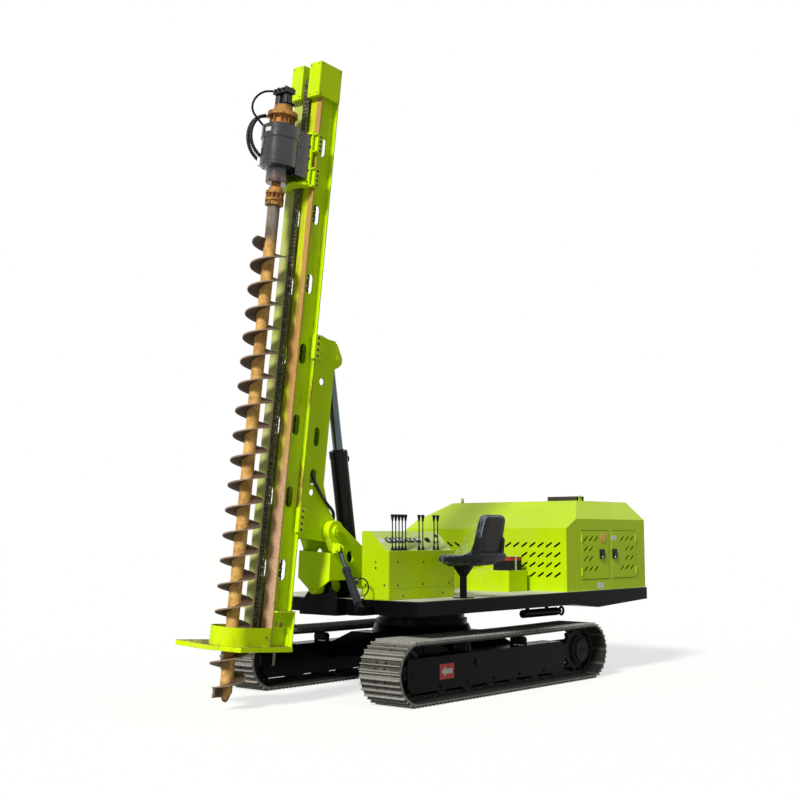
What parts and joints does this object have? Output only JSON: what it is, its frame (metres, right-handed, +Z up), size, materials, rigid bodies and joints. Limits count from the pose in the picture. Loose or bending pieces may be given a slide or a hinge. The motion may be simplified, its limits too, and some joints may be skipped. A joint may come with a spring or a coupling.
{
  "type": "solar pile driver",
  "caption": "Crawler solar pile driver: slewing deck with engine hood, seat and lever console, and a leaning chain-feed mast with drive head and earth auger.",
  "frame": {"origin": "on the ground on the slew axis, midway between the tracks", "axes": "+X forward towards the mast, +Y left, +Z up"},
  "size_m": [5.9731, 2.74, 6.3139],
  "materials": {
    "black_paint": "satin black enamel",
    "black_plastic": "moulded",
    "chrome_rod": "hard chrome",
    "deck_steel": "worn grey chequer plate",
    "gear_black": "dark grey gearbox paint",
    "hose_rubber": "hydraulic hose",
    "lime_paint": "gloss enamel, chipped and rust-stained on the mast",
    "rusty_steel": "surface rust",
    "seat_vinyl": "vinyl under clear film",
    "track_steel": "worn track steel"
  },
  "bodies": {
    "undercarriage": {"centre_frame": "black_paint", "slew_ring": "black_paint", "track_frame_left": "black_paint", "track_frame_right": "black_paint", "track_left": "track_steel", "track_right": "track_steel", "sprockets": "black_paint", "idlers": "black_paint", "rollers": "black_paint"},
    "upper": {"deck_frame": "black_paint", "deck_plate": "deck_steel", "underframe_wedge": "black_paint", "hood_front": "lime_paint", "hood_rear": "lime_paint", "hood_left": "lime_paint", "hood_right": "lime_paint", "hood_roof": "lime_paint", "engine_block": "black_paint", "exhaust": "rusty_steel", "console": "lime_paint", "levers": "black_plastic", "seat_post": "black_paint", "seat": "seat_vinyl", "battery_box": "lime_paint", "battery": "black_plastic", "stowed_ram": "black_paint"},
    "tilt_bracket": {"tilt_bracket": "lime_paint"},
    "tilt_barrel": {"tilt_cylinder_barrel": "black_paint", "tilt_hose": "hose_rubber"},
    "tilt_rod": {"tilt_cylinder_rod": "chrome_rod"},
    "cradle": {"cradle": "lime_paint", "cradle_hose": "hose_rubber"},
    "luff_barrel": {"luff_cylinder_barrel": "black_paint"},
    "luff_rod": {"luff_cylinder_rod": "chrome_rod"},
    "mast": {"mast_column": "lime_paint", "mast_crown": "lime_paint", "feed_motor": "black_paint", "feed_chain": "rusty_steel", "foot_plate": "lime_paint"},
    "drive_head": {"carriage": "lime_paint", "gearbox": "gear_black", "drive_motor": "rusty_steel", "head_hose": "hose_rubber", "head_pressure_hoses": "hose_rubber"},
    "auger": {"auger": "rusty_steel"},
    "door_left_front": {"door_left_front": "lime_paint"},
    "door_left_rear": {"door_left_rear": "lime_paint"},
    "door_right_front": {"door_right_front": "lime_paint"},
    "door_right_rear": {"door_right_rear": "lime_paint"}
  },
  "joints": [
    {"name": "slew", "type": "hinge", "parent": "undercarriage", "child": "upper", "pos_m": [0, 0, 0.64], "axis": [0, 0, 1], "continuous": true},
    {"name": "side_tilt", "type": "hinge", "parent": "upper", "child": "tilt_bracket", "pos_m": [1.645, 0, 1.09], "axis": [-1, 0, 0], "range_deg": [-13.2, 6.8]},
    {"name": "tilt_barrel_swing", "type": "hinge", "parent": "upper", "child": "tilt_barrel", "pos_m": [1.65, 0.583, 0.892], "axis": [-1, 0, 0], "range_deg": [-5.43, 3.28]},
    {"name": "tilt_rod_stroke", "type": "slide", "parent": "tilt_barrel", "child": "tilt_rod", "axis": [0, -0.4452, 0.8954], "range_m": [-0.0552, 0.1025]},
    {"name": "mast_luff", "type": "hinge", "parent": "tilt_bracket", "child": "cradle", "pos_m": [1.645, 0.03154, 1.65412], "axis": [0, 0.9984, -0.0558], "range_deg": [-80, 5]},
    {"name": "luff_barrel_swing", "type": "hinge", "parent": "tilt_bracket", "child": "luff_barrel", "pos_m": [1.155, 0.00502, 1.17986], "axis": [0, 0.9984, -0.0558], "range_deg": [-70.87, 5.37]},
    {"name": "luff_rod_stroke", "type": "slide", "parent": "luff_barrel", "child": "luff_rod", "axis": [0.2168, 0.0545, 0.9747], "range_m": [-0.8284, 0.0611]},
    {"name": "mast_slide", "type": "slide", "parent": "cradle", "child": "mast", "axis": [-0.0628, 0.0557, 0.9965], "range_m": [-0.45, 0.6]},
    {"name": "head_feed", "type": "slide", "parent": "mast", "child": "drive_head", "axis": [0.0628, -0.0557, -0.9965], "range_m": [0, 4]},
    {"name": "auger_spin", "type": "hinge", "parent": "drive_head", "child": "auger", "pos_m": [2.61347, 0.11017, 3.06051], "axis": [-0.0628, 0.0557, 0.9965], "continuous": true},
    {"name": "door_left_front_hinge", "type": "hinge", "parent": "upper", "child": "door_left_front", "pos_m": [-1.445, 1.174, 1.38], "axis": [0, 0, -1], "range_deg": [0, 110]},
    {"name": "door_left_rear_hinge", "type": "hinge", "parent": "upper", "child": "door_left_rear", "pos_m": [-2.675, 1.174, 1.38], "axis": [0, 0, 1], "range_deg": [0, 110]},
    {"name": "door_right_front_hinge", "type": "hinge", "parent": "upper", "child": "door_right_front", "pos_m": [-1.445, -1.174, 1.38], "axis": [0, 0, 1], "range_deg": [0, 110]},
    {"name": "door_right_rear_hinge", "type": "hinge", "parent": "upper", "child": "door_right_rear", "pos_m": [-2.675, -1.174, 1.38], "axis": [0, 0, -1], "range_deg": [0, 110]}
  ],
  "couplings": [
    {"joint": "tilt_barrel_swing", "follows": "side_tilt", "ratio": 0.3356},
    {"joint": "tilt_rod_stroke", "follows": "side_tilt", "m_per_rad": -0.42317},
    {"joint": "luff_barrel_swing", "follows": "mast_luff", "ratio": 0.87343},
    {"joint": "luff_rod_stroke", "follows": "mast_luff", "m_per_rad": 0.58612}
  ]
}
